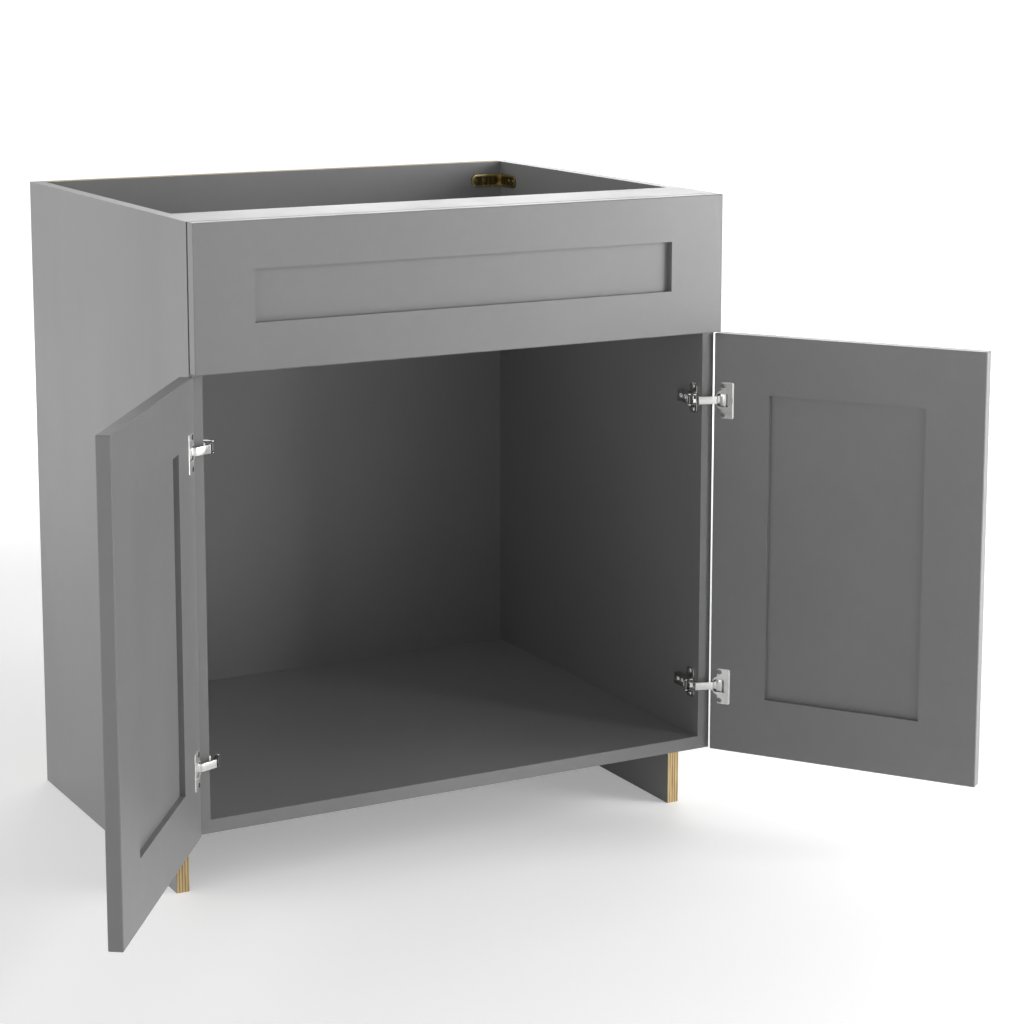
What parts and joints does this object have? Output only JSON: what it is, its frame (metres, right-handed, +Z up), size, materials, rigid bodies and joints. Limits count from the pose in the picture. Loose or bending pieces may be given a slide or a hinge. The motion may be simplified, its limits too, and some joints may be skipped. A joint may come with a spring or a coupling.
{
  "type": "sink base cabinet",
  "caption": "Grey shaker sink base cabinet of painted plywood with an open top and toe space, a fixed false front and doors on concealed link hinges",
  "frame": {"origin": "the middle of the back's bottom edge, where the wall meets the floor", "axes": "+X to the viewer's right, +Y into the wall, +Z up; the doors face -Y"},
  "size_m": [1.2168, 0.9112, 0.876],
  "materials": {
    "painted_panel": "satin",
    "painted_front": "satin",
    "beech": "matte",
    "antique_brass": "satin",
    "nickel_plate": "satin",
    "screw_zinc": "satin"
  },
  "bodies": {
    "carcass": {"left_side": "painted_panel", "right_side": "painted_panel", "bottom_deck": "painted_panel", "back_panel": "painted_panel", "front_rail": "painted_panel", "false_front_left_stile": "painted_front", "false_front_right_stile": "painted_front", "false_front_top_rail": "painted_front", "false_front_bottom_rail": "painted_front", "false_front_panel": "painted_front", "left_corner_bracket": "antique_brass", "left_false_front_bracket": "antique_brass", "right_corner_bracket": "antique_brass", "right_false_front_bracket": "antique_brass", "corner_bracket_screws": "antique_brass", "false_front_bracket_screws": "antique_brass", "deck_dowels": "beech", "rail_dowels": "beech", "back_dowels": "beech", "hinge_plate_screws": "screw_zinc", "hinge_arm_screws": "screw_zinc", "left_lower_hinge_plate": "nickel_plate", "left_lower_hinge_arm": "nickel_plate", "left_upper_hinge_plate": "nickel_plate", "left_upper_hinge_arm": "nickel_plate", "right_lower_hinge_plate": "nickel_plate", "right_lower_hinge_arm": "nickel_plate", "right_upper_hinge_plate": "nickel_plate", "right_upper_hinge_arm": "nickel_plate"},
    "left_door": {"left_door_hinge_stile": "painted_front", "left_door_free_stile": "painted_front", "left_door_top_rail": "painted_front", "left_door_bottom_rail": "painted_front", "left_door_panel": "painted_front", "left_lower_hinge_cup": "nickel_plate", "left_upper_hinge_cup": "nickel_plate", "left_cup_screws": "screw_zinc"},
    "left_cranks": {"left_lower_hinge_crank": "nickel_plate", "left_upper_hinge_crank": "nickel_plate"},
    "left_links": {"left_lower_hinge_link": "nickel_plate", "left_upper_hinge_link": "nickel_plate"},
    "right_door": {"right_door_hinge_stile": "painted_front", "right_door_free_stile": "painted_front", "right_door_top_rail": "painted_front", "right_door_bottom_rail": "painted_front", "right_door_panel": "painted_front", "right_lower_hinge_cup": "nickel_plate", "right_upper_hinge_cup": "nickel_plate", "right_cup_screws": "screw_zinc"},
    "right_cranks": {"right_lower_hinge_crank": "nickel_plate", "right_upper_hinge_crank": "nickel_plate"},
    "right_links": {"right_lower_hinge_link": "nickel_plate", "right_upper_hinge_link": "nickel_plate"}
  },
  "joints": [
    {"name": "left_door_swing", "type": "hinge", "parent": "carcass", "child": "left_door", "pos_m": [-0.3798, -0.6001, 0.3945], "axis": [0, 0, -1], "range_deg": [-125, 0]},
    {"name": "left_crank_turn", "type": "hinge", "parent": "carcass", "child": "left_cranks", "pos_m": [-0.3478, -0.5866, 0.3945], "axis": [0, 0, -1], "range_deg": [-125, 0]},
    {"name": "left_link_turn", "type": "hinge", "parent": "left_cranks", "child": "left_links", "pos_m": [-0.35649, -0.59919, 0.3945], "axis": [0, 0, -1], "range_deg": [0, 125]},
    {"name": "right_door_swing", "type": "hinge", "parent": "carcass", "child": "right_door", "pos_m": [0.3798, -0.6001, 0.3945], "axis": [0, 0, 1], "range_deg": [-125, 0]},
    {"name": "right_crank_turn", "type": "hinge", "parent": "carcass", "child": "right_cranks", "pos_m": [0.3478, -0.5866, 0.3945], "axis": [0, 0, 1], "range_deg": [-125, 0]},
    {"name": "right_link_turn", "type": "hinge", "parent": "right_cranks", "child": "right_links", "pos_m": [0.35649, -0.59919, 0.3945], "axis": [0, 0, 1], "range_deg": [0, 125]}
  ],
  "couplings": [
    {"joint": "left_crank_turn", "follows": "left_door_swing", "ratio": 1},
    {"joint": "left_link_turn", "follows": "left_door_swing", "ratio": -1},
    {"joint": "right_crank_turn", "follows": "right_door_swing", "ratio": 1},
    {"joint": "right_link_turn", "follows": "right_door_swing", "ratio": -1}
  ]
}
